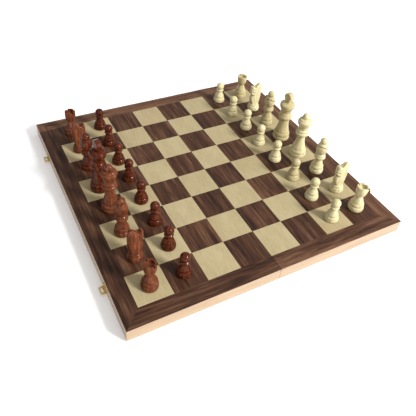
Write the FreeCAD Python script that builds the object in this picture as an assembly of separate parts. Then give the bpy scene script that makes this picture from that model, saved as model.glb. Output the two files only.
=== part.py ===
"""Folding wooden chess set: a felt-lined box that opens flat into the playing board, and its pieces.

Row frame: X runs from the black side to the white side, Y from the a-file to the h-file, Z up.
The seam between the two halves is the plane x = 0, and z = 0 is the table top, which the barrels of
the two butt hinges just touch. All lengths are in millimetres.
"""
import FreeCAD, Part
import math
import os

from FreeCAD import Placement, Rotation, Vector

os.makedirs("parts", exist_ok=True)

# ---- board ---------------------------------------------------------------------------------------
SQUARE = 42.0            # side of one square
FILES = 8
BORDER = 21.0            # walnut border round the playing field
HALF = FILES / 2 * SQUARE + BORDER     # from the seam to an outer wall
SEAM = 0.25              # each half stops this far from the seam plane
TOP_Z = 19.7             # playing surface
RAIL_THICK = 8.0
REBATE = 4.0             # width of the step in the rails that carries the panel
PANEL_THICK = 4.0
VENEER = 0.6
EDGE_ROUND = 0.5         # rounding of the outer top edge of the border
FOOT_ROUND = 1.0         # rounding of the rails' lower outer edge
FELT = 1.0               # lining of the trays
FELT_BELOW_RIM = 1.0     # the wall lining stops this far short of the rim

# ---- butt hinges under the seam --------------------------------------------------------------------
BARREL_R = 1.1
FOLD_Z = 1.1             # height of the fold axis
RIM_Z = 1.2              # underside of the rails: the rims of the shut box leave a small gap
HINGE_Y = 105.0          # the hinges stand at +-HINGE_Y
HINGE_LEN = 26.0
KNUCKLES = 5
KNUCKLE_GAP = 0.2
LEAF_W = 8.4             # from the seam to the leaf's free edge
LEAF_T = 0.8
LEAF_GAP = 0.7           # the leaf meets its knuckles this far from the axis
NOTCH_R = 1.45
HINGE_PIN_R = 0.5
HINGE_BORE_R = 0.55
HINGE_SCREW_X = 4.8
HINGE_SCREW_Y = 8.0

# ---- hasps and staples -----------------------------------------------------------------------------
LATCH_Y = 122.0
STAPLE_W = 11.0
STAPLE_TAB_Z = 2.6       # lower face of the tab above the rim
STAPLE_PLATE_H = 8.0
STAPLE_OUT = 6.2
STAPLE_T = 0.8
WINDOW = (1.9, 4.7)      # the tab's window, out from the wall
WINDOW_W = 6.2
STAPLE_SCREW_Y = 3.4
STAPLE_SCREW_Z = 7.0     # above the rim

PLATE_T = 0.8
PLATE_CORNER = 1.6       # rounding of the free corners of staples and base plates
PLATE_W = 17.0
PLATE_Z = (1.2, 5.6)     # hasp base plate above the rim
HASP_AXIS_Z = 7.0        # knuckle axis above the rim
HASP_AXIS_OUT = 1.6      # knuckle axis out from the wall
HASP_BARREL_R = 1.3
HASP_PIN_R = 0.6
HASP_BORE_R = 0.65
HASP_KNUCKLE_W = 7.4     # middle knuckle, on the hasp
HASP_GAP = 0.3
HASP_T = 0.9
HASP_LEN = 15.4          # from the axis to the tip
HASP_START = 1.7         # the full-width leaf begins this far from the axis
HASP_SLOT = (9.4, 12.0)
HASP_SLOT_W = 12.4
HASP_CORNER = 4.0
HASP_LIP_R = 0.75
HASP_SCREW_Y = 5.4
HASP_SCREW_Z = 3.2       # above the rim

# ---- screws ----------------------------------------------------------------------------------------
HEAD_R = 1.6
SHANK_R = 0.75
HEAD_H = 0.8
SCREW_LEN = 6.5          # without the tip
TIP_R = 0.2
TIP_LEN = 1.0
SLOT_W = 0.4
SLOT_DEPTH = 0.4

# ---- chess pieces ----------------------------------------------------------------------------------
PAD = 0.6                # felt disc under each piece
PAD_INSET = 1.0          # the disc is this much smaller than the base
ROOK_TOP_Z = 39.0
ROOK_WALL_R = 5.3        # inside of the rook's cup
ROOK_FLOOR_Z = 35.4
ROOK_NOTCH = (2.2, 2.2)  # width and depth of a battlement notch
SLIT_W = 0.9             # bishop's slit
FINIAL_HALF = (3.0, 6.4, 5.2, 1.4)   # half-widths of the king's finial: foot, widest, shoulder, peak
FINIAL_TOP_Z = 78.6
FINIAL_THICK = 7.0
FINIAL_TURN = 8.0


def vec(x, y, z):
    return Vector(x, y, z)


def box(x0, x1, y0, y1, z0, z1):
    return Part.makeBox(x1 - x0, y1 - y0, z1 - z0, vec(x0, y0, z0))


def cyl_y(r, x, z, y0, y1):
    """Cylinder along Y."""
    return Part.makeCylinder(r, y1 - y0, vec(x, y0, z), vec(0, 1, 0))


def pin(r, x, z, y, length):
    """Cylinder along Y, centred on y."""
    return cyl_y(r, x, z, y - length / 2, y + length / 2)


def prism(points, z0, z1):
    """Upright prism over a plan polygon."""
    ring = [vec(x, y, z0) for x, y in points]
    face = Part.Face(Part.makePolygon(ring + ring[:1]))
    return face.extrude(vec(0, 0, z1 - z0))


def fuse(solids):
    first = solids[0]
    joined = first.multiFuse(solids[1:]) if len(solids) > 1 else first
    return joined.removeSplitter().Solids[0]


def to_right(shape):
    """The mirror image of a left-hand board part."""
    return shape.mirror(vec(0, 0, 0), vec(1, 0, 0))


def export(name, solids):
    """Write one node. Several solids make a compound."""
    solids = [s for shape in solids for s in shape.Solids]
    shape = solids[0] if len(solids) == 1 else Part.makeCompound(solids)
    if not shape.isValid():
        raise SystemExit(name + " is not valid")
    shape.exportStep("parts/" + name + ".step")


# ---- left half of the board, mirrored for the right -------------------------------------------------
INNER = HALF - RAIL_THICK
STEP = HALF - REBATE
PANEL_Z = TOP_Z - VENEER - PANEL_THICK
RAIL_TOP = TOP_Z - VENEER


def round_foot(rail, on_edge):
    """Round the lower outer edge of a rail. on_edge picks the edge by its centre."""
    edges = [e for e in rail.Edges
             if abs(e.BoundBox.ZMax - RIM_Z) < 1e-6 and on_edge(e.CenterOfMass)]
    return rail.makeFillet(FOOT_ROUND, edges)


def long_rail(side):
    """Front (side -1) or back (side +1) rail, mitred at the outer corner, square at the seam."""
    foot = [(-HALF, side * HALF), (-SEAM, side * HALF), (-SEAM, side * INNER), (-INNER, side * INNER)]
    top = [(-HALF, side * HALF), (-SEAM, side * HALF), (-SEAM, side * STEP), (-STEP, side * STEP)]
    rail = fuse([prism(foot, RIM_Z, PANEL_Z), prism(top, PANEL_Z, RAIL_TOP)])
    return round_foot(rail, lambda c: abs(c.y - side * HALF) < 1e-3)


def outer_rail():
    foot = [(-HALF, -HALF), (-INNER, -INNER), (-INNER, INNER), (-HALF, HALF)]
    top = [(-HALF, -HALF), (-STEP, -STEP), (-STEP, STEP), (-HALF, HALF)]
    rail = fuse([prism(foot, RIM_Z, PANEL_Z), prism(top, PANEL_Z, RAIL_TOP)])
    return round_foot(rail, lambda c: abs(c.x + HALF) < 1e-3)


def centre_rail():
    foot = box(-SEAM - RAIL_THICK, -SEAM, -INNER, INNER, RIM_Z, PANEL_Z)
    top = box(-SEAM - REBATE, -SEAM, -STEP, STEP, PANEL_Z, RAIL_TOP)
    rail = fuse([foot, top])
    for side in (-1, 1):
        y = side * HINGE_Y
        half = HINGE_LEN / 2 + KNUCKLE_GAP
        mortise = box(-LEAF_W, 0, y - HINGE_LEN / 2, y + HINGE_LEN / 2, RIM_Z, RIM_Z + LEAF_T)
        rail = rail.cut(mortise).cut(cyl_y(NOTCH_R, 0, FOLD_Z, y - half, y + half))
    return rail


def screw_room(at, along):
    """Countersunk head, shank and tip along a unit vector, with the head's face at `at`. It is the
    screw's own outside and the room that its hole needs."""
    head = Part.makeCone(HEAD_R, SHANK_R, HEAD_H, at, along)
    shank = Part.makeCylinder(SHANK_R, SCREW_LEN - HEAD_H, at + along * HEAD_H, along)
    tip = Part.makeCone(SHANK_R, TIP_R, TIP_LEN, at + along * SCREW_LEN, along)
    return fuse([head, shank, tip])


def screw(at, along):
    """One slotted screw."""
    across = along.cross(vec(0, 1, 0)) if abs(along.y) < 0.5 else vec(1, 0, 0)
    reach = HEAD_R + 0.5
    slot = box(-reach, reach, -SLOT_W / 2, SLOT_W / 2, -SLOT_DEPTH, SLOT_DEPTH)
    slot.Placement = Placement(at, Rotation(across, along.cross(across), along, "ZXY"))
    return screw_room(at, along).cut(slot)


def hinge_screw_places():
    """Left-hand leaf screws: points on the rail's underside."""
    return [vec(-HINGE_SCREW_X, side * HINGE_Y + dy, RIM_Z)
            for side in (-1, 1) for dy in (-HINGE_SCREW_Y, HINGE_SCREW_Y)]


def staple_screw_places():
    return [vec(-HALF - STAPLE_T, side * LATCH_Y + dy, RIM_Z + STAPLE_SCREW_Z)
            for side in (-1, 1) for dy in (-STAPLE_SCREW_Y, STAPLE_SCREW_Y)]


def hasp_screw_places():
    return [vec(HALF + PLATE_T, side * LATCH_Y + dy, RIM_Z + HASP_SCREW_Z)
            for side in (-1, 1) for dy in (-HASP_SCREW_Y, HASP_SCREW_Y)]


UP = vec(0, 0, 1)
INTO_LEFT_WALL = vec(1, 0, 0)
INTO_RIGHT_WALL = vec(-1, 0, 0)


def cut_all(shape, tools):
    for tool in tools:
        shape = shape.cut(tool)
    return shape


def hinge_leaf(y, own_knuckles):
    """One leaf of a butt hinge, on the left side, with every knuckle that it owns."""
    pitch = HINGE_LEN / KNUCKLES
    y0 = y - HINGE_LEN / 2
    plate = box(-LEAF_W, -NOTCH_R, y0, y0 + HINGE_LEN, RIM_Z, RIM_Z + LEAF_T)
    solids = [plate]
    for k in own_knuckles:
        low = y0 + k * pitch + KNUCKLE_GAP / 2
        high = y0 + (k + 1) * pitch - KNUCKLE_GAP / 2
        arm = box(-NOTCH_R - 0.5, -LEAF_GAP, low, high, RIM_Z, RIM_Z + LEAF_T)
        solids += [arm, cyl_y(BARREL_R, 0, FOLD_Z, low, high)]
    leaf = fuse(solids)
    leaf = leaf.cut(cyl_y(HINGE_BORE_R, 0, FOLD_Z, y0 - 1, y0 + HINGE_LEN + 1))
    near = [p for p in hinge_screw_places() if abs(p.y - y) < HINGE_LEN]
    return cut_all(leaf, [screw_room(p, UP) for p in near])


def staple(y):
    """Base plate with a tab that stands out of it, and a rounded window in the tab."""
    wall = -HALF
    z = RIM_Z + STAPLE_TAB_Z
    half = STAPLE_W / 2
    plate = box(wall - STAPLE_T, wall, y - half, y + half, z, z + STAPLE_PLATE_H)
    plate = plate.makeFillet(PLATE_CORNER, [e for e in plate.Edges if e.BoundBox.YLength < 1e-6
                                            and abs(e.BoundBox.ZMin - z - STAPLE_PLATE_H) < 1e-6])
    tab = box(wall - STAPLE_OUT, wall, y - half, y + half, z, z + STAPLE_T)
    tab = tab.makeFillet(2.0, [e for e in tab.Edges if abs(e.BoundBox.XMax - wall + STAPLE_OUT) < 1e-6
                               and e.BoundBox.ZLength > 0.1])
    body = fuse([plate, tab])
    window = box(wall - WINDOW[1], wall - WINDOW[0], y - WINDOW_W / 2, y + WINDOW_W / 2, z - 1, z + 2)
    window = window.makeFillet(1.2, [e for e in window.Edges if e.BoundBox.ZLength > 1])
    near = [p for p in staple_screw_places() if abs(p.y - y) < STAPLE_W]
    return cut_all(body, [window] + [screw_room(p, INTO_LEFT_WALL) for p in near])


HASP_X = HALF + HASP_AXIS_OUT
HASP_Z = RIM_Z + HASP_AXIS_Z


def hasp_plate(y):
    """Base plate on the right wall, with the two outer knuckles."""
    half = PLATE_W / 2
    plate = box(HALF, HALF + PLATE_T, y - half, y + half, RIM_Z + PLATE_Z[0], RIM_Z + PLATE_Z[1])
    plate = plate.makeFillet(PLATE_CORNER, [e for e in plate.Edges if e.BoundBox.YLength < 1e-6
                                            and abs(e.BoundBox.ZMax - RIM_Z - PLATE_Z[0]) < 1e-6])
    solids = [plate]
    for side in (-1, 1):
        inner = HASP_KNUCKLE_W / 2 + HASP_GAP
        y0, y1 = sorted((y + side * inner, y + side * half))
        web = box(HALF, HALF + PLATE_T, y0, y1, RIM_Z + PLATE_Z[1] - 1, HASP_Z)
        solids += [web, cyl_y(HASP_BARREL_R, HASP_X, HASP_Z, y0, y1)]
    body = fuse(solids)
    body = body.cut(cyl_y(HASP_BORE_R, HASP_X, HASP_Z, y - half - 1, y + half + 1))
    near = [p for p in hasp_screw_places() if abs(p.y - y) < PLATE_W]
    return cut_all(body, [screw_room(p, INTO_RIGHT_WALL) for p in near])


def hasp(y):
    """Swinging leaf, raised flat against the wall: middle knuckle, slot and a rolled lip at the tip."""
    inner_x = HASP_X - HASP_BARREL_R
    half = PLATE_W / 2
    knuckle_half = HASP_KNUCKLE_W / 2
    neck_top = HASP_Z + HASP_START + 1
    neck = box(inner_x, inner_x + HASP_T, y - knuckle_half, y + knuckle_half, HASP_Z, neck_top)
    leaf = box(inner_x, inner_x + HASP_T, y - half, y + half, HASP_Z + HASP_START, HASP_Z + HASP_LEN)
    leaf = leaf.makeFillet(HASP_CORNER, [e for e in leaf.Edges
                                         if abs(e.BoundBox.ZMin - HASP_Z - HASP_LEN) < 1e-6
                                         and e.BoundBox.YLength < 1e-6])
    knuckle = cyl_y(HASP_BARREL_R, HASP_X, HASP_Z, y - knuckle_half, y + knuckle_half)
    lip_half = half - HASP_CORNER
    lip_z = HASP_Z + HASP_LEN - HASP_LIP_R
    lip = cyl_y(HASP_LIP_R, inner_x + HASP_LIP_R, lip_z, y - lip_half, y + lip_half)
    slot = box(inner_x - 1, inner_x + 2, y - HASP_SLOT_W / 2, y + HASP_SLOT_W / 2,
               HASP_Z + HASP_SLOT[0], HASP_Z + HASP_SLOT[1])
    slot = slot.makeFillet(1.0, [e for e in slot.Edges if e.BoundBox.XLength > 1])
    body = fuse([neck, leaf, knuckle, lip])
    return body.cut(slot).cut(cyl_y(HASP_BORE_R, HASP_X, HASP_Z, y - half, y + half))


def border_left():
    """Three mitred veneer strips: front, outer and back."""
    field = HALF - BORDER
    strips = [
        [(-HALF, -HALF), (-SEAM, -HALF), (-SEAM, -field), (-field, -field)],
        [(-HALF, -HALF), (-field, -field), (-field, field), (-HALF, HALF)],
        [(-HALF, HALF), (-SEAM, HALF), (-SEAM, field), (-field, field)],
    ]
    solids = []
    for strip in strips:
        solid = prism(strip, RAIL_TOP, TOP_Z)
        rim = [e for e in solid.Edges if abs(e.BoundBox.ZMin - TOP_Z) < 1e-6
               and (abs(e.BoundBox.XMax + HALF) < 1e-6 or abs(abs(e.CenterOfMass.y) - HALF) < 1e-6)]
        solids.append(solid.makeFillet(EDGE_ROUND, rim))
    return solids


def squares(columns, light):
    """Veneer squares of one colour. Column 0 is on black's side and row 0 is the a-file."""
    solids = []
    for i in columns:
        for j in range(FILES):
            if ((i + j) % 2 == 0) != light:
                continue
            x0 = (i - FILES / 2) * SQUARE
            x1 = x0 + SQUARE
            x0 = SEAM if i == FILES // 2 else x0
            x1 = -SEAM if i == FILES // 2 - 1 else x1
            y0 = (j - FILES / 2) * SQUARE
            solids.append(box(x0, x1, y0, y0 + SQUARE, RAIL_TOP, TOP_Z))
    return solids


def lining_left():
    """Floor and four walls of the tray's felt, one solid with a square outline."""
    x0, x1 = -INNER, -SEAM - RAIL_THICK
    outer = box(x0, x1, -INNER, INNER, RIM_Z + FELT_BELOW_RIM, PANEL_Z)
    hollow = box(x0 + FELT, x1 - FELT, -INNER + FELT, INNER - FELT, RIM_Z - 1, PANEL_Z - FELT)
    return outer.cut(hollow)


def build_board():
    left_screws = [screw(p, UP) for p in hinge_screw_places()]
    left_holes = [screw_room(p, UP) for p in hinge_screw_places()]
    staple_screws = [screw(p, INTO_LEFT_WALL) for p in staple_screw_places()]
    staple_holes = [screw_room(p, INTO_LEFT_WALL) for p in staple_screw_places()]
    hasp_screws = [screw(p, INTO_RIGHT_WALL) for p in hasp_screw_places()]
    hasp_holes = [screw_room(p, INTO_RIGHT_WALL) for p in hasp_screw_places()]

    front, back, outer = long_rail(-1), long_rail(1), outer_rail()
    centre = cut_all(centre_rail(), left_holes)
    export("rail_left_front", [front])
    export("rail_left_back", [back])
    export("rail_left_outer", [cut_all(outer, staple_holes)])
    export("rail_left_centre", [centre])
    export("rail_right_front", [to_right(front)])
    export("rail_right_back", [to_right(back)])
    export("rail_right_outer", [cut_all(to_right(outer), hasp_holes)])
    export("rail_right_centre", [to_right(centre)])

    panel = box(-STEP, -SEAM - REBATE, -STEP, STEP, PANEL_Z, RAIL_TOP)
    border = border_left()
    lining = lining_left()
    export("panel_left", [panel])
    export("panel_right", [to_right(panel)])
    export("border_left", border)
    export("border_right", [to_right(b) for b in border])
    export("felt_lining_left", [lining])
    export("felt_lining_right", [to_right(lining)])
    half = FILES // 2
    for light, wood in ((False, "walnut"), (True, "maple")):
        export(wood + "_squares_left", squares(range(half), light))
        export(wood + "_squares_right", squares(range(half, FILES), light))

    sides = (-1, 1)
    outer_knuckles = range(0, KNUCKLES, 2)
    inner_knuckles = range(1, KNUCKLES, 2)
    export("hinge_leaves_left", [hinge_leaf(s * HINGE_Y, outer_knuckles) for s in sides])
    export("hinge_leaves_right", [to_right(hinge_leaf(s * HINGE_Y, inner_knuckles)) for s in sides])
    export("hinge_pins", [pin(HINGE_PIN_R, 0, FOLD_Z, s * HINGE_Y, HINGE_LEN) for s in sides])
    export("screws_left", left_screws + staple_screws)
    export("screws_right", [to_right(s) for s in left_screws] + hasp_screws)
    export("staples", [staple(s * LATCH_Y) for s in sides])
    export("hasp_plates", [hasp_plate(s * LATCH_Y) for s in sides])
    export("hasp_pins", [pin(HASP_PIN_R, HASP_X, HASP_Z, s * LATCH_Y, PLATE_W) for s in sides])
    export("hasp_front", [hasp(-LATCH_Y)])
    export("hasp_back", [hasp(LATCH_Y)])


# ---- chess pieces, each built at the origin on its felt disc and then set on its square --------------
def turned(base_r, *steps):
    """Body of revolution. A step is a point (line), two points (arc), a longer list (smooth curve)
    or a height: a ball centred on the axis, up to that height."""
    def at(p):
        return vec(p[0], 0, p[1])

    def on_ball(start, top, angle):
        centre = (top ** 2 - start[0] ** 2 - start[1] ** 2) / (2 * (top - start[1]))
        radius = top - centre
        return (radius * math.cos(angle), centre + radius * math.sin(angle))
    here = (base_r, PAD)
    edges = [Part.LineSegment(vec(0, 0, PAD), at(here)).toShape()]
    for step in steps:
        if isinstance(step, float):
            step = [on_ball(here, step, 0), (0, step)]
        points = [step] if isinstance(step, tuple) else step
        if len(points) == 1:
            edge = Part.LineSegment(at(here), at(points[0])).toShape()
        elif len(points) == 2:
            edge = Part.Arc(at(here), at(points[0]), at(points[1])).toShape()
        else:
            curve = Part.BSplineCurve()
            curve.interpolate([at(p) for p in [here] + points])
            edge = curve.toShape()
        edges.append(edge)
        here = points[-1]
    edges.append(Part.LineSegment(at(here), vec(0, 0, PAD)).toShape())
    face = Part.Face(Part.Wire(Part.__sortEdges__(edges)))
    return face.revolve(vec(0, 0, 0), UP, 360).Solids[0]


def pad(base_r):
    return Part.makeCylinder(base_r - PAD_INSET, PAD)


def pawn():
    body = turned(
        8.9, [(9.3, 2.8), (8.9, 5.0)], [(8.5, 6.6), (7.6, 7.8)], (7.1, 8.0), [(7.4, 9.8), (6.7, 12.0)],
        [(5.9, 13.6), (4.9, 15.6), (4.2, 17.6), (4.0, 19.2)],
        (5.3, 20.5), [(5.8, 21.3), (5.3, 22.1)], (4.5, 22.8), (4.3, 23.4), 33.7)
    return [body, pad(8.9)]


def rook():
    body = turned(
        9.6, [(10.2, 3.6), (9.5, 7.0)], (8.7, 7.6), [(9.2, 9.8), (8.4, 12.0)], (7.8, 12.3),
        [(7.3, 14.4), (6.1, 17.6), (4.9, 20.6), (4.3, 23.2)],
        (4.7, 24.2), [(6.0, 25.6), (7.0, 28.6), (7.5, 32.6), (7.5, 36.2), (7.3, ROOK_TOP_Z)],
        (ROOK_WALL_R, ROOK_TOP_Z), (ROOK_WALL_R - 0.3, ROOK_FLOOR_Z), (0, ROOK_FLOOR_Z - 0.6))
    width, depth = ROOK_NOTCH
    for turn in (20, 110):
        notch = box(-12, 12, -width / 2, width / 2, ROOK_TOP_Z - depth, ROOK_TOP_Z + 1)
        core = Part.makeCylinder(ROOK_WALL_R - 1.5, 8, vec(0, 0, ROOK_TOP_Z - depth - 1))
        notch = notch.cut(core)
        notch.rotate(vec(0, 0, 0), UP, turn)
        body = body.cut(notch)
    return [body, pad(9.6)]


def bishop(facing):
    body = turned(
        9.4, [(9.9, 3.2), (9.3, 6.4)], (8.4, 7.2), [(8.8, 9.8), (8.0, 12.2)], (7.4, 12.6),
        [(6.9, 14.6), (5.8, 18.0), (5.0, 21.2), (4.9, 23.0)],
        (6.3, 23.8), [(7.8, 26.2), (7.0, 28.6)], (6.3, 29.1), [(6.9, 30.1), (6.2, 31.1)],
        (5.5, 31.8), [(6.6, 34.0), (7.5, 37.4), (7.8, 41.0), (7.2, 45.0), (5.8, 48.2)],
        (4.2, 49.6), 58.0)
    slit = Part.makeBox(14, 20, SLIT_W, vec(-1.5, -10, 0))
    slit.rotate(vec(0, 0, 0), vec(0, 1, 0), -32)
    slit.rotate(vec(0, 0, 0), UP, facing)
    slit.translate(vec(0, 0, 41.5))
    return [body.cut(slit), pad(9.4)]


def queen():
    body = turned(
        12.0, [(12.5, 3.0), (12.0, 5.6)], (11.2, 6.0), [(11.7, 8.6), (10.7, 11.2)], (10.0, 11.6),
        [(9.6, 14.0), (8.2, 18.5), (6.6, 24.5), (5.7, 30.5), (5.5, 34.6)],
        (7.5, 35.8), [(9.6, 38.6), (8.5, 41.4)], (7.7, 42.1), [(8.4, 43.5), (7.6, 44.9)],
        (6.7, 45.8), [(6.7, 48.2), (7.5, 51.2), (9.0, 54.0), (9.9, 57.0)], [(10.1, 58.8), (9.4, 60.6)],
        (8.6, 61.0), [(8.1, 62.4), (6.6, 63.2)], (4.2, 63.6), 71.6)
    return [body, pad(12.0)]


def king():
    body = turned(
        12.2, [(12.8, 3.2), (12.3, 5.8)], (11.6, 6.2), [(12.1, 9.2), (11.3, 12.2)], (10.6, 12.6),
        [(10.0, 15.6), (8.8, 20.2), (7.7, 25.8), (7.1, 31.0), (7.0, 34.8)],
        (8.4, 35.8), [(10.2, 38.9), (9.3, 42.0)], (8.4, 42.7), [(8.9, 44.1), (8.3, 45.5)],
        (7.8, 46.3), [(7.8, 48.6), (8.7, 51.8), (10.2, 54.8), (10.9, 57.8)], [(11.1, 59.8), (10.2, 61.8)],
        (7.6, 63.2), (4.8, 64.0), (0, 64.0))
    half_low, half_high, half_top, half_peak = FINIAL_HALF
    outline = [(half_low, 63.4), (half_low + 0.7, 66.0), (half_high, 72.6), (half_top, 76.4),
               (half_peak, FINIAL_TOP_Z)]
    outline += [(-y, z) for y, z in reversed(outline)]
    ring = [vec(-FINIAL_THICK / 2, y, z) for y, z in outline]
    finial = Part.Face(Part.makePolygon(ring + ring[:1])).extrude(vec(FINIAL_THICK, 0, 0))
    finial.rotate(vec(0, 0, 0), UP, FINIAL_TURN)
    return [fuse([body, finial]), pad(12.2)]


def upright(points, depth):
    """Plate with a side outline in X and Z, centred on y = 0."""
    ring = [vec(x, -depth / 2, z) for x, z in points]
    return Part.Face(Part.makePolygon(ring + ring[:1])).extrude(vec(0, depth, 0))


def both_sides(half):
    return half + [(x, -y) for x, y in reversed(half)]


def knight(facing):
    """Horse's head on a turned foot. The head and neck are cut from a block to an outline from the
    side, from above and from the front."""
    foot = turned(
        9.2, [(9.7, 3.0), (9.2, 5.8)], [(8.9, 7.2), (8.1, 8.2)], (7.5, 8.4), [(7.9, 9.8), (7.3, 11.2)],
        (6.6, 11.8), (0, 11.8))
    side = [(5.9, 11.4), (6.6, 14.6), (8.5, 19.6), (8.9, 23.6), (7.4, 25.8), (5.2, 27.4), (4.5, 28.6),
            (7.8, 29.8), (9.3, 31.4), (9.7, 35.0), (9.5, 41.6), (8.7, 43.8), (7.3, 44.2), (5.4, 42.6),
            (3.2, 41.2), (1.0, 43.2), (-1.6, 46.4), (-4.4, 47.6), (-6.8, 46.8), (-8.2, 44.2),
            (-8.8, 38.0), (-8.7, 27.0), (-7.7, 19.6), (-6.3, 14.6), (-5.9, 11.4)]
    plan = both_sides([(9.8, 2.8), (7.2, 3.8), (3.0, 5.0), (-2.0, 5.2), (-6.0, 4.6), (-9.0, 3.0)])
    front = [(5.2, 11.0), (5.4, 16.0), (5.2, 22.0), (4.6, 28.0), (4.5, 38.0), (4.0, 43.0), (2.6, 48.0)]
    front_ring = [vec(-12, y, z) for y, z in front + [(-y, z) for y, z in reversed(front)]]
    front_plate = Part.Face(Part.makePolygon(front_ring + front_ring[:1])).extrude(vec(26, 0, 0))
    horse = fuse([foot, upright(side, 16).common(prism(plan, 11.0, 50.0)).common(front_plate)])
    mouth = box(6.4, 12, -8, 8, 34.2, 34.9)
    mouth.rotate(vec(6.4, 0, 34.5), vec(0, 1, 0), -10)
    solids = [horse.cut(mouth).Solids[0], pad(9.2)]
    for solid in solids:
        solid.rotate(vec(0, 0, 0), UP, facing)
    return solids


BLACK_FACES = 0.0        # black looks along +X
WHITE_FACES = 180.0
BISHOP_TURN = 37.0       # the slits are turned a little off the line of play


def piece(kind, facing):
    if kind == "knight":
        return knight(facing)
    if kind == "bishop":
        return bishop(facing + BISHOP_TURN)
    return {"pawn": pawn, "rook": rook, "queen": queen, "king": king}[kind]()


BACK_RANK = ("rook", "knight", "bishop", "queen", "king", "bishop", "knight", "rook")
# how far each piece stands off the middle of its square: (x, y), file a to file h
OFFSETS = {
    ("black", "back"): [(0.4, -1.2), (0.5, -0.4), (0.5, -1.3), (2.0, 1.0), (1.6, -0.7), (0.2, 2.4),
                        (0.6, 0.8), (1.6, 1.6)],
    ("black", "pawn"): [(0.0, -0.9), (0.2, -0.7), (1.0, -0.8), (0.0, -1.8), (0.8, 1.2), (0.0, -3.0),
                        (1.7, -0.6), (2.4, -0.2)],
    ("white", "back"): [(1.2, 1.3), (0.4, -1.6), (-0.4, -0.5), (-2.8, -0.3), (-2.0, 1.6), (-2.0, 0.5),
                        (-0.5, 0.2), (-0.8, 0.0)],
    ("white", "pawn"): [(0.4, -1.2), (1.0, -0.6), (0.8, 0.0), (0.2, 1.4), (-0.5, 0.8), (1.6, 0.4),
                        (0.2, -0.9), (0.0, 0.3)],
}


# each side's name, the way it looks, and the columns of its back rank and its pawns
SIDES = (("black", BLACK_FACES, 0, 1), ("white", WHITE_FACES, 7, 6))


def build_pieces():
    for colour, facing, back_column, pawn_column in SIDES:
        for j in range(FILES):
            for row, column, kind in (("back", back_column, BACK_RANK[j]), ("pawn", pawn_column, "pawn")):
                dx, dy = OFFSETS[colour, row][j]
                x = (column - FILES / 2 + 0.5) * SQUARE + dx
                y = (j - FILES / 2 + 0.5) * SQUARE + dy
                solids = piece(kind, facing)
                for solid in solids:
                    solid.translate(vec(x, y, TOP_Z))
                square = "abcdefgh"[j] + str(FILES - column)
                export("_".join((colour, kind, square)), solids)


build_board()
build_pieces()
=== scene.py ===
import math

import bpy
import numpy as np
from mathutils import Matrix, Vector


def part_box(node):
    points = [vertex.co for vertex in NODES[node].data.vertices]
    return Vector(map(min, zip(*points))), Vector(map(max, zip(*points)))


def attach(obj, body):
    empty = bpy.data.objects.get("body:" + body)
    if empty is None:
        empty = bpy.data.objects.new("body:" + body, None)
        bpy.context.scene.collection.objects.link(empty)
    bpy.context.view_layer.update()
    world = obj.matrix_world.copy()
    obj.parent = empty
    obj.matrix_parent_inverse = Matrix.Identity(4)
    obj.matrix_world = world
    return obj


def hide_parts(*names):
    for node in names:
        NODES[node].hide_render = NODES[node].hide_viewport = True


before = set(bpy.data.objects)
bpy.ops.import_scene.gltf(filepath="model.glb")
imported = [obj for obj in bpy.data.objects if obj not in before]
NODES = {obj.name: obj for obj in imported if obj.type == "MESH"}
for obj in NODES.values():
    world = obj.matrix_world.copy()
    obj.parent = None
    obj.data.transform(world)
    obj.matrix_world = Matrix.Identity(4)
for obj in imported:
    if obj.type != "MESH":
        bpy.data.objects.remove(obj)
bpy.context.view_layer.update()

import openvdb
from mathutils import Matrix, Vector

MM = 0.001

# ---- places taken from the frame -------------------------------------------------------------------
squares_low, squares_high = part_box("walnut_squares_left")
RANKS = 8
SQUARE = (squares_high.y - squares_low.y) / RANKS
FIELD_EDGE = RANKS / 2 * SQUARE   # from the middle of the board to the edge of its squares
TOP_Z = squares_high.z
PAD_THICK = 0.6 * MM              # felt disc under each piece
PAD_Z = TOP_Z + PAD_THICK
ALONG_X, ALONG_Y, ALONG_Z = range(3)


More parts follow.
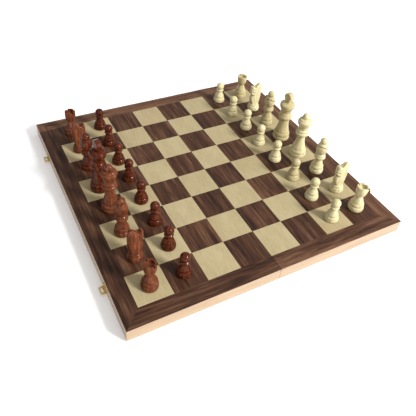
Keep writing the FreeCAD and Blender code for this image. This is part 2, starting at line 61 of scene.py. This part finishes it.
# ---- shader helpers --------------------------------------------------------------------------------
class Shader:
    """A material's node tree, with short calls to add and join nodes."""

    def __init__(self, name):
        self.material = bpy.data.materials.new(name)
        self.material.use_nodes = True
        self.tree = self.material.node_tree
        self.tree.nodes.clear()
        self.out = self.node("OutputMaterial")

    def node(self, kind, inputs=None, **settings):
        made = self.tree.nodes.new("ShaderNode" + kind)
        for key, value in settings.items():
            setattr(made, key, value)
        for key, value in (inputs or {}).items():
            self.put(made.inputs[key], value)
        return made

    def put(self, socket, value):
        if isinstance(value, bpy.types.NodeSocket):
            self.tree.links.new(value, socket)
        else:
            socket.default_value = value

    def math(self, operation, *values):
        return self.node("Math", dict(enumerate(values)), operation=operation).outputs[0]

    def vector(self, operation, *values):
        return self.node("VectorMath", dict(enumerate(values)), operation=operation).outputs[0]

    def noise(self, where, scale, detail=4.0, rough=0.55, distort=0.0):
        """Noise from 0 to 1, with scale in features per metre."""
        made = self.node("TexNoise", {"Vector": where, "Scale": scale, "Detail": detail,
                                      "Roughness": rough, "Distortion": distort})
        return made.outputs["Fac"]

    def ramp(self, value, *stops):
        """A colour ramp. Each stop is a place and a colour or a grey."""
        made = self.node("ValToRGB", {"Fac": value})
        elements = made.color_ramp.elements
        while len(elements) < len(stops):
            elements.new(0.5)
        for element, (place, colour) in zip(elements, stops):
            element.position = place
            element.color = (*colour, 1.0) if isinstance(colour, tuple) else (colour, colour, colour, 1.0)
        return made.outputs["Color"]

    def multiplied(self, a, b):
        """The product of two colours."""
        made = self.node("Mix", data_type="RGBA", blend_type="MULTIPLY")
        share, first, second = (made.inputs[i] for i in (0, 6, 7))     # the sockets for colours
        self.put(share, 1.0)
        self.put(first, a)
        self.put(second, b)
        return made.outputs[2]

    def bump(self, height, strength, distance):
        return self.node("Bump", {"Height": height, "Strength": strength, "Distance": distance}).outputs[0]

    def surface(self, **inputs):
        named = {key.replace("_", " "): value for key, value in inputs.items()}
        return self.node("BsdfPrincipled", named).outputs[0]

    def finish(self, shader):
        self.tree.links.new(shader, self.out.inputs["Surface"])
        return self.material


def object_place(s):
    return s.node("TexCoord").outputs["Object"]


def stretched(s, where, along, length):
    """Coordinates squeezed along one axis, so that noise runs as fibres along it."""
    scale = [1.0, 1.0, 1.0]
    scale[along] = 1.0 / length
    return s.vector("MULTIPLY", where, tuple(scale))


def square_random(s, where):
    """A random colour and a random number for each square of the board."""
    scaled = s.vector("MULTIPLY", where, (1 / SQUARE, 1 / SQUARE, 0.0))
    cell = s.vector("FLOOR", scaled)
    noise = s.node("TexWhiteNoise", {"Vector": cell}, noise_dimensions="3D")
    return noise.outputs["Color"], noise.outputs["Value"]


def blended(s, a, share, b):
    """A share of one value and the rest of another."""
    return s.math("MULTIPLY_ADD", a, share, s.math("MULTIPLY", b, 1.0 - share))


# ---- materials -------------------------------------------------------------------------------------
LACQUER = {"Coat_Weight": 0.15, "Coat_Roughness": 0.2, "Coat_IOR": 1.35, "Specular_IOR_Level": 0.15}
WALNUT_DARK = (0.024, 0.0092, 0.0055)
WALNUT_MID = (0.069, 0.0290, 0.0148)
WALNUT_PALE = (0.172, 0.084, 0.046)
MAPLE_DARK = (0.345, 0.272, 0.144)
MAPLE_PALE = (0.455, 0.378, 0.218)
BEECH_DARK = (0.325, 0.205, 0.112)
BEECH_PALE = (0.450, 0.312, 0.185)
FELT_DARK = (0.010, 0.050, 0.025)
FELT_PALE = (0.028, 0.115, 0.058)
PAD_DARK = (0.012, 0.045, 0.022)
PAD_PALE = (0.03, 0.10, 0.05)
BRASS_DULL = (0.60, 0.42, 0.13)
BRASS_BRIGHT = (0.80, 0.60, 0.24)
VENEER_ROUGH = 0.42
SQUARE_SHIFT = (0.7, 0.9, 0.0)         # how far apart the squares' grain is taken, in metres
BORDER_SHIFT = (0.31, 0.17, 0.05)      # where the border's grain is taken


def walnut_colour(s, place, along, shift, tone, figure_length, rings):
    """Walnut's look: contour lines of a slow noise for the figure, streaks, and short dark pores."""
    moved = s.vector("ADD", place, shift)
    figure = stretched(s, moved, along, figure_length)
    slow = s.noise(figure, scale=26.0, detail=2.0, rough=0.45, distort=0.35)
    lines = s.math("SINE", s.math("MULTIPLY", slow, rings))
    long_streaks = stretched(s, moved, along, length=20.0)
    streaks = s.noise(long_streaks, scale=430.0, detail=5.0, rough=0.68, distort=0.15)
    zones = s.noise(stretched(s, moved, along, length=9.0), scale=95.0, detail=3.0, rough=0.55, distort=0.3)
    pores = s.noise(stretched(s, moved, along, length=22.0), scale=1700.0, detail=2.0, rough=0.5)
    line_share, zone_share, streak_share, level = 0.040, 0.56, 0.80, 0.17
    value = s.math("MULTIPLY_ADD", lines, line_share, s.math("MULTIPLY", zones, zone_share))
    value = s.math("MULTIPLY_ADD", streaks, streak_share, value)
    value = s.math("SUBTRACT", value, level)
    value = s.math("ADD", value, tone)
    colour = s.ramp(value, (0.34, WALNUT_DARK), (0.53, WALNUT_MID), (0.78, WALNUT_PALE))
    dark = s.ramp(pores, (0.30, 0.55), (0.46, 1.0))
    return s.multiplied(colour, dark), streaks


def veneer(s, colour, fibres, strength, distance):
    """The finished veneer: lacquer over a colour, with the fibres just felt."""
    normal = s.bump(fibres, strength, distance)
    return s.finish(s.surface(Base_Color=colour, Roughness=VENEER_ROUGH, Normal=normal, **LACQUER))


def walnut_squares():
    s = Shader("walnut_square_veneer")
    place = object_place(s)
    colours, value = square_random(s, place)
    shift = s.vector("MULTIPLY", colours, SQUARE_SHIFT)
    spread = 0.09                      # of tone from square to square
    tone = s.math("MULTIPLY_ADD", value, spread, -spread / 2)
    colour, streaks = walnut_colour(s, place, ALONG_Y, shift, tone, figure_length=12.0, rings=80.0)
    return veneer(s, colour, streaks, strength=0.12, distance=0.3 * MM)


def border_place(s):
    """Coordinates whose X runs along each border strip, up to its mitres."""
    parts = s.node("SeparateXYZ", {"Vector": object_place(s)})
    x, y = parts.outputs["X"], parts.outputs["Y"]
    outer = s.math("GREATER_THAN", s.math("ABSOLUTE", x), s.math("ABSOLUTE", y))
    keep = s.math("SUBTRACT", 1.0, outer)
    along = s.math("ADD", s.math("MULTIPLY", x, keep), s.math("MULTIPLY", y, outer))
    across = s.math("ADD", s.math("MULTIPLY", y, keep), s.math("MULTIPLY", x, outer))
    apart = s.math("MULTIPLY", outer, 0.37)      # so that the grain doesn't run on round a corner
    return s.node("CombineXYZ", {"X": along, "Y": across, "Z": apart}).outputs[0]


def border_walnut():
    s = Shader("walnut_border_veneer")
    place = border_place(s)
    drawn_out = stretched(s, place, ALONG_X, length=2.5)
    blotch = s.noise(drawn_out, scale=20.0, detail=3.0, rough=0.5, distort=0.5)
    blotch_spread, blotch_level = 0.42, -0.185
    tone = s.math("MULTIPLY_ADD", blotch, blotch_spread, blotch_level)
    # the strips come from different boards: the white half's are paler. The two at the back are paler too,
    # a painted sheen where the far side catches the light
    half_paler, back_painted_sheen, both_less, level = 0.13, 0.17, -0.11, 0.045
    parts = s.node("SeparateXYZ", {"Vector": object_place(s)})
    white_half = s.math("GREATER_THAN", parts.outputs["X"], 0.0)
    back_sheen_strip = s.math("GREATER_THAN", parts.outputs["Y"], FIELD_EDGE)
    tone = s.math("MULTIPLY_ADD", white_half, half_paler, s.math("SUBTRACT", tone, level))
    # painted sheen: the back strips are made paler, less so on the white half, which is already paler
    back_sheen_tone = s.math("MULTIPLY_ADD", white_half, both_less, back_painted_sheen)
    tone = s.math("MULTIPLY_ADD", back_sheen_strip, back_sheen_tone, tone)
    colour, streaks = walnut_colour(s, place, ALONG_X, BORDER_SHIFT, tone, figure_length=6.0, rings=70.0)
    return veneer(s, colour, streaks, strength=0.12, distance=0.3 * MM)


def maple_squares():
    s = Shader("maple_square_veneer")
    place = object_place(s)
    colours, value = square_random(s, place)
    moved = s.vector("ADD", place, s.vector("MULTIPLY", colours, SQUARE_SHIFT))
    fibres = s.noise(stretched(s, moved, ALONG_Y, length=9.0), scale=900.0, rough=0.65)
    drawn_out = stretched(s, moved, ALONG_Y, length=2.5)
    clouds = s.noise(drawn_out, scale=60.0, detail=3.0, rough=0.5, distort=0.4)
    spread, fibre_share = 0.10, 0.62
    tone = s.math("MULTIPLY_ADD", value, spread, -spread / 2)
    value = s.math("ADD", tone, blended(s, fibres, fibre_share, clouds))
    colour = s.ramp(value, (0.32, MAPLE_DARK), (0.66, MAPLE_PALE))
    return veneer(s, colour, fibres, strength=0.06, distance=0.2 * MM)


def rail_beech(name, along):
    """Plain beech, with its fibres along one axis."""
    s = Shader(name)
    place = object_place(s)
    fibres = s.noise(stretched(s, place, along, length=16.0), scale=700.0, rough=0.6)
    bands = s.noise(stretched(s, place, along, length=9.0), scale=110.0, detail=3.0, rough=0.5, distort=0.5)
    flecks = s.noise(stretched(s, place, along, length=3.5), scale=900.0, detail=1.0, rough=0.4)
    colour = s.ramp(blended(s, fibres, 0.4, bands), (0.30, BEECH_DARK), (0.70, BEECH_PALE))
    colour = s.multiplied(colour, s.ramp(flecks, (0.26, 0.80), (0.36, 1.0)))
    normal = s.bump(fibres, strength=0.08, distance=0.2 * MM)
    return s.finish(s.surface(Base_Color=colour, Roughness=0.4, Normal=normal, Coat_Weight=0.2,
                              Coat_Roughness=0.25))


def with_felt_foot(s, wood):
    """The felt disc shares its piece's node: everything below its top is felt."""
    place = object_place(s)
    height = s.node("SeparateXYZ", {"Vector": place}).outputs["Z"]
    is_wood = s.math("GREATER_THAN", height, PAD_Z + 0.02 * MM)
    fuzz = s.noise(place, scale=2500.0, detail=3.0, rough=0.7)
    green = s.ramp(fuzz, (0.35, PAD_DARK), (0.7, PAD_PALE))
    felt = s.surface(Base_Color=green, Roughness=0.95, Sheen_Weight=0.4)
    return s.node("MixShader", {0: is_wood, 1: felt, 2: wood}).outputs[0]


def turned_wood(name, dark, mid, pale, roughness, coat, contrast):
    """A piece's wood, with its fibres upright."""
    s = Shader(name)
    place = object_place(s)
    rings = s.noise(stretched(s, place, ALONG_Z, length=7.0), scale=330.0, rough=0.6, distort=0.8)
    fibres = s.noise(stretched(s, place, ALONG_Z, length=16.0), scale=1300.0, detail=3.0, rough=0.6)
    value = blended(s, fibres, 0.35, rings)
    colour = s.ramp(value, (0.5 - contrast, dark), (0.5, mid), (0.5 + contrast, pale))
    normal = s.bump(fibres, strength=0.05, distance=0.2 * MM)
    wood = s.surface(Base_Color=colour, Roughness=roughness, Normal=normal, Coat_Weight=coat,
                     Coat_Roughness=0.08, Coat_IOR=1.4, Specular_IOR_Level=0.05)
    return s.finish(with_felt_foot(s, wood))


def felt_lining():
    s = Shader("green_felt")
    place = object_place(s)
    fuzz = s.noise(place, scale=1800.0, rough=0.7)
    clumps = s.noise(place, scale=130.0, detail=3.0, rough=0.6)
    colour = s.ramp(blended(s, fuzz, 0.6, clumps), (0.35, FELT_DARK), (0.65, FELT_PALE))
    normal = s.bump(fuzz, strength=0.5, distance=0.6 * MM)
    return s.finish(s.surface(Base_Color=colour, Roughness=0.96, Normal=normal, Sheen_Weight=0.5))


def brass():
    s = Shader("brass")
    place = object_place(s)
    tarnish = s.noise(place, scale=260.0, rough=0.6)
    scratches = s.noise(stretched(s, place, ALONG_Y, length=18.0), scale=3000.0, detail=2.0, rough=0.5)
    colour = s.ramp(tarnish, (0.35, BRASS_DULL), (0.65, BRASS_BRIGHT))
    polished, duller = 0.14, 0.22
    roughness = s.math("MULTIPLY_ADD", tarnish, duller, polished)
    normal = s.bump(scratches, strength=0.08, distance=0.1 * MM)
    return s.finish(s.surface(Base_Color=colour, Metallic=1.0, Roughness=roughness, Normal=normal))


def use(material, *names):
    for name in names:
        mesh = NODES[name].data
        mesh.materials.clear()
        mesh.materials.append(material)


def dress_board():
    walnut, maple, border = walnut_squares(), maple_squares(), border_walnut()
    long_beech = rail_beech("beech_rail_long", ALONG_X)
    cross_beech = rail_beech("beech_rail_cross", ALONG_Y)
    felt, metal = felt_lining(), brass()
    for side in ("left", "right"):
        use(walnut, "walnut_squares_" + side)
        use(maple, "maple_squares_" + side)
        use(border, "border_" + side)
        use(long_beech, f"rail_{side}_front", f"rail_{side}_back")
        use(cross_beech, f"rail_{side}_outer", f"rail_{side}_centre", "panel_" + side)
        use(felt, "felt_lining_" + side)
        use(metal, "hinge_leaves_" + side, "screws_" + side)
    use(metal, "hinge_pins", "staples", "hasp_plates", "hasp_pins", "hasp_front", "hasp_back")


# Each wood's dark, middle and pale colour. Some black pieces are of a warmer wood than the rest, and
# some white ones get a darker, yellow-green copy of the pale wood: painted shade for pieces in shadow.
DARK_WOOD = (0.014, 0.0022, 0.0008), (0.064, 0.0108, 0.0032), (0.165, 0.042, 0.0115)
WARM_WOOD = (0.042, 0.0100, 0.0040), (0.120, 0.0340, 0.0135), (0.240, 0.082, 0.036)
PALE_WOOD = (0.44, 0.365, 0.175), (0.60, 0.525, 0.300), (0.70, 0.630, 0.400)
SHADED_PALE_WOOD = (0.34, 0.275, 0.125), (0.46, 0.385, 0.200), (0.56, 0.480, 0.270)
WARM_PIECES = ("queen_d8", "bishop_c8", "knight_b8", "rook_a8", "knight_g8", "rook_h8")
SHADED_WHITE_PIECES = ("king_e1", "bishop_f1", "rook_h1", "pawn_c2")


def dress_pieces():
    dark = turned_wood("dark_piece_wood", *DARK_WOOD, roughness=0.34, coat=0.4, contrast=0.17)
    warm = turned_wood("warm_piece_wood", *WARM_WOOD, roughness=0.42, coat=0.22, contrast=0.17)
    pale = turned_wood("pale_piece_wood", *PALE_WOOD, roughness=0.38, coat=0.6, contrast=0.18)
    # painted shade: a darker, yellow-green copy of the pale wood for the white pieces that stand in shadow
    shaded_pale = turned_wood("shaded_pale_piece_wood", *SHADED_PALE_WOOD, roughness=0.38, coat=0.4, contrast=0.18)
    carving = knight_carving()
    for name in NODES:
        if not name.startswith(("black_", "white_")):
            continue
        material = pale if name.startswith("white_") else dark
        material = warm if name.endswith(WARM_PIECES) else material
        # the white pieces listed as shaded get the painted-shade copy of the pale wood
        material = shaded_pale if name.endswith(SHADED_WHITE_PIECES) else material
        if "_knight_" in name:
            add_knight(name, carving, material)
        else:
            use(material, name)


# ---- carved knights, in millimetres: X is where the horse looks, Z is up from the square -------------
VOXEL = 0.32
CARVING_LOW, CARVING_HIGH = (-12.0, -12.0, -1.0), (12.0, 12.0, 50.0)
FOOT_R = 9.7
KNIGHT_FOOT = [(0, 0), (8.2, 0), (8.2, 0.6), (9.2, 0.6), (9.6, 1.8), (FOOT_R, 3.0),
               (9.55, 4.5), (9.2, 5.8), (8.9, 7.2), (8.1, 8.2), (7.5, 8.4), (7.9, 9.0),
               (7.95, 9.8), (7.3, 11.2), (6.4, 11.8), (0, 11.8)]
BODY_LOW_Z = 11.2             # the body starts a little inside the foot's top
KNIGHT_SIDE = [(5.9, 11.0), (6.6, 14.6), (8.6, 19.6), (9.1, 23.6), (7.4, 25.9), (5.2, 27.4), (4.4, 28.6),
               (7.8, 29.7), (9.5, 31.2), (9.9, 35.0), (9.7, 41.6), (9.0, 44.1), (7.2, 44.5), (5.4, 42.7),
               (3.2, 41.6), (1.0, 43.4), (-1.6, 46.6), (-4.4, 47.9), (-7.0, 47.1), (-8.4, 44.2),
               (-8.9, 38.0), (-8.8, 27.0), (-7.8, 19.6), (-6.4, 14.6), (-5.9, 11.0)]
KNIGHT_PLAN = [(-9.0, 3.2), (-6.0, 4.7), (-2.0, 5.3), (3.0, 5.0), (7.2, 3.9), (9.8, 2.9)]
KNIGHT_FRONT = [(11.0, 5.3), (16.0, 5.5), (22.0, 5.2), (28.0, 4.6), (38.0, 4.5), (43.0, 3.9), (48.0, 2.6)]
BODY_ROUND = 1.5              # rounding between the side outline and the flanks
MANE_EDGE = [(-1.2, 44.6), (-3.6, 39.0), (-4.4, 32.0), (-4.0, 24.0), (-2.6, 15.0)]
MANE_LOW_Z = 14
LOCK_STEP, LOCK_SLOPE, LOCK_DEPTH = 3.0, 0.9, 0.32
LOCK_GAP, LOCK_FADE = 0.8, 4          # the locks begin this far behind the edge, this sharply
CHEEK, CHEEK_R = (2.0, 34.6), 4.4
CHEEK_MAX_X, CHEEK_MAX_Z = 5.5, 38.2
EYE, EYE_R = (4.4, 39.2), 1.5
NOSTRIL = (8.3, 38.0)
MOUTH = [(10.2, 34.4), (8.0, 34.0), (5.6, 33.2)]
MOUTH_HALF = 0.28             # half the width of the slot between the lips
CREST_X, CREST_REACH, CREST_LOW_Z = -1.0, 2.6, 40


def edge_distance(points, u, v, closed=False):
    """Distance from (u, v) to a line through the points."""
    best = np.full(u.shape, 1e6)
    ends = points[1:] + points[:1] if closed else points[1:]
    for (ax, ay), (bx, by) in zip(points, ends):
        ex, ey = bx - ax, by - ay
        t = np.clip(((u - ax) * ex + (v - ay) * ey) / (ex * ex + ey * ey), 0, 1)
        best = np.minimum(best, np.hypot(u - ax - t * ex, v - ay - t * ey))
    return best


def outline_distance(points, u, v):
    """Signed distance to a closed outline, negative inside."""
    inside = np.zeros(u.shape, bool)
    for (ax, ay), (bx, by) in zip(points, points[1:] + points[:1]):
        if ay != by:
            inside ^= ((ay > v) != (by > v)) & (u < ax + (v - ay) * (bx - ax) / (by - ay))
    return np.where(inside, -1.0, 1.0) * edge_distance(points, u, v, closed=True)


def corners_cut(points):
    """The closed outline with each corner cut at a quarter of its sides."""
    made = []
    for (ax, ay), (bx, by) in zip(points, points[1:] + points[:1]):
        made.append((0.75 * ax + 0.25 * bx, 0.75 * ay + 0.25 * by))
        made.append((0.25 * ax + 0.75 * bx, 0.25 * ay + 0.75 * by))
    return made


def from_point(point, x, z):
    """Distance from a point of the side view."""
    return np.hypot(x - point[0], z - point[1])


def groove(distance, width, depth):
    """Depth of a soft groove at this distance from its middle."""
    return depth * np.exp(-(distance / width) ** 2)


def rounded_join(a, b, radius):
    """The part inside both solids, with its edges rounded."""
    a, b = a + radius, b + radius
    return np.hypot(np.maximum(a, 0), np.maximum(b, 0)) + np.minimum(np.maximum(a, b), 0) - radius


def mane_cut(x, z):
    """The line along the mane's edge, and the locks behind it."""
    line = groove(edge_distance(MANE_EDGE, x, z), width=0.55, depth=0.5)
    heights, edge_x = zip(*[(at_z, at_x) for at_x, at_z in reversed(MANE_EDGE)])
    behind = 1 / (1 + np.exp((x - np.interp(z, heights, edge_x) + LOCK_GAP) * LOCK_FADE))
    locks = 0.5 + 0.5 * np.cos((z + LOCK_SLOPE * x) * 2 * math.pi / LOCK_STEP)
    return line + LOCK_DEPTH * locks * behind * (z > MANE_LOW_Z)


def cheek_cut(x, z):
    """A round line under the eye and behind the mouth."""
    ring = np.abs(from_point(CHEEK, x, z) - CHEEK_R)
    return groove(ring, width=0.55, depth=0.35) * (z < CHEEK_MAX_Z) * (x < CHEEK_MAX_X)


def eye_cut(x, z):
    """A ring cut round the eye, whose middle stands proud."""
    eye = from_point(EYE, x, z)
    return groove(eye - EYE_R, width=0.45, depth=0.5) - groove(eye, width=0.9, depth=0.5)


def knight_distance(x, y, z):
    """Distance to the knight's surface at each point of a grid, negative inside."""
    flat_x, flat_z = x[:, 0, :], z[:, 0, :]
    side = outline_distance(corners_cut(KNIGHT_SIDE), flat_x, flat_z)
    width = np.minimum(np.interp(flat_x, *zip(*KNIGHT_PLAN)), np.interp(flat_z, *zip(*KNIGHT_FRONT)))
    mouth = edge_distance(MOUTH, flat_x, flat_z)
    # lines cut into the two flanks
    cut = mane_cut(flat_x, flat_z)
    cut += cheek_cut(flat_x, flat_z)
    cut += eye_cut(flat_x, flat_z) + groove(from_point(NOSTRIL, flat_x, flat_z), width=0.6, depth=0.8)
    cut += groove(mouth, width=0.42, depth=1.3)
    flank = np.abs(y) - (width - cut)[:, None, :]
    head = rounded_join(np.maximum(side, MOUTH_HALF - mouth)[:, None, :], flank, BODY_ROUND)
    # a groove down the middle of the crest parts the ears
    reach = np.exp(-(((x - CREST_X) / CREST_REACH) ** 2)) * (z > CREST_LOW_Z)
    head = np.maximum(head + groove(y, width=0.7, depth=1.1) * reach, BODY_LOW_Z - z)
    foot = outline_distance(KNIGHT_FOOT, np.hypot(x, y), z)
    return np.minimum(head, foot)


def knight_carving():
    """Points and faces of one knight that looks along +X."""
    axes = [np.arange(low, high, VOXEL) for low, high in zip(CARVING_LOW, CARVING_HIGH)]
    distance = knight_distance(*np.meshgrid(*axes, indexing="ij"))
    grid = openvdb.FloatGrid()
    grid.copyFromArray(distance.astype(np.float32))
    points, _, quads = grid.convertToPolygons(isovalue=0.0, adaptivity=0.0)
    points = np.array(CARVING_LOW) + points * VOXEL
    points[:, 2] = np.maximum(points[:, 2], 0.0)
    return points, [list(map(int, face)) for face in quads]


def add_knight(node, carving, material):
    """Stand one carved knight in its CAD node's place."""
    points, faces = carving
    box_low, box_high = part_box(node)
    facing = -1.0 if node.startswith("white_") else 1.0
    # the foot is the rearmost part of the horse
    centre_x = box_low.x + FOOT_R * MM if facing > 0 else box_high.x - FOOT_R * MM
    centre = Vector((centre_x, (box_low.y + box_high.y) / 2, TOP_Z))
    turned_points = points * MM * (facing, facing, 1.0) + tuple(centre)
    mesh = bpy.data.meshes.new("carved_" + node)
    mesh.from_pydata(turned_points.tolist(), [], faces)
    mesh.polygons.foreach_set("use_smooth", [True] * len(faces))
    mesh.update()
    mesh.materials.append(material)
    horse = bpy.data.objects.new("carved_" + node, mesh)
    bpy.context.scene.collection.objects.link(horse)
    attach(horse, node)
    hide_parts(node)


# ---- camera, floor and light -----------------------------------------------------------------------
CAMERA_PLACE = Vector((-0.2739, -0.4374, TOP_Z + 0.4446))      # in metres
CAMERA_HEADING = math.radians(30.14)   # from +Y towards +X
CAMERA_DOWN = math.radians(40.29)
CAMERA_ROLL = math.radians(5.02)
LENS, SENSOR = 41.98, 36.0             # in millimetres
SHIFT = (0.0365, -0.1055)
FLOOR_HALF = 12.0
FLOOR_GLOW = 0.20
KEY_PLACE = Vector((1.45, -2.30, 1.95))
KEY_SIZE, KEY_POWER = 0.78, 142.0
SOFT_SIDE = Vector((0.60, -0.70, 0.38)).normalized()      # where the soft light is strongest
SKY_DIM, SKY_BRIGHT = 0.12, 1.02


def add_camera():
    data = bpy.data.cameras.new("camera")
    data.lens = LENS
    data.sensor_width = SENSOR
    data.shift_x, data.shift_y = SHIFT
    camera = bpy.data.objects.new("camera", data)
    bpy.context.scene.collection.objects.link(camera)
    turn = Matrix.Rotation(-CAMERA_HEADING, 4, "Z") @ Matrix.Rotation(math.pi / 2 - CAMERA_DOWN, 4, "X")
    turn = turn @ Matrix.Rotation(CAMERA_ROLL, 4, "Z")
    camera.matrix_world = Matrix.Translation(CAMERA_PLACE) @ turn
    bpy.context.scene.camera = camera


def add_floor():
    corners = [(x * FLOOR_HALF, y * FLOOR_HALF, 0) for x, y in ((-1, -1), (1, -1), (1, 1), (-1, 1))]
    mesh = bpy.data.meshes.new("floor")
    mesh.from_pydata(corners, [], [(0, 1, 2, 3)])
    floor = bpy.data.objects.new("floor", mesh)
    bpy.context.scene.collection.objects.link(floor)
    s = Shader("floor_paper")
    tone = s.ramp(s.noise(object_place(s), scale=3.0), (0.3, 0.90), (0.7, 0.92))
    glow = {"Emission_Color": (1, 1, 1, 1), "Emission_Strength": FLOOR_GLOW}
    paper = s.surface(Base_Color=tone, Roughness=0.9, **glow)
    mesh.materials.append(s.finish(paper))


def add_key_light():
    """A round lamp that faces the middle of the board."""
    data = bpy.data.lights.new("key", "AREA")
    data.shape = "DISK"
    data.size = KEY_SIZE
    data.energy = KEY_POWER
    light = bpy.data.objects.new("key", data)
    bpy.context.scene.collection.objects.link(light)
    light.location = KEY_PLACE
    light.rotation_euler = (-KEY_PLACE).to_track_quat("-Z", "Y").to_euler()


def add_soft_light():
    """A white world that is brightest on one side."""
    world = bpy.data.worlds.new("studio")
    bpy.context.scene.world = world
    world.use_nodes = True
    tree = world.node_tree
    direction = tree.nodes.new("ShaderNodeTexCoord").outputs["Generated"]
    facing = tree.nodes.new("ShaderNodeVectorMath")
    facing.operation = "DOT_PRODUCT"
    facing.inputs[1].default_value = SOFT_SIDE
    strength = tree.nodes.new("ShaderNodeMapRange")
    limits = {"From Min": -1.0, "From Max": 1.0, "To Min": SKY_DIM, "To Max": SKY_BRIGHT}
    for socket, value in limits.items():
        strength.inputs[socket].default_value = value
    background = tree.nodes["Background"]
    background.inputs["Color"].default_value = (1.0, 1.0, 1.0, 1.0)
    tree.links.new(direction, facing.inputs[0])
    tree.links.new(facing.outputs["Value"], strength.inputs["Value"])
    tree.links.new(strength.outputs["Result"], background.inputs["Strength"])


dress_board()
dress_pieces()
add_camera()
add_floor()
add_soft_light()
add_key_light()
bpy.context.scene.view_settings.view_transform = "Standard"
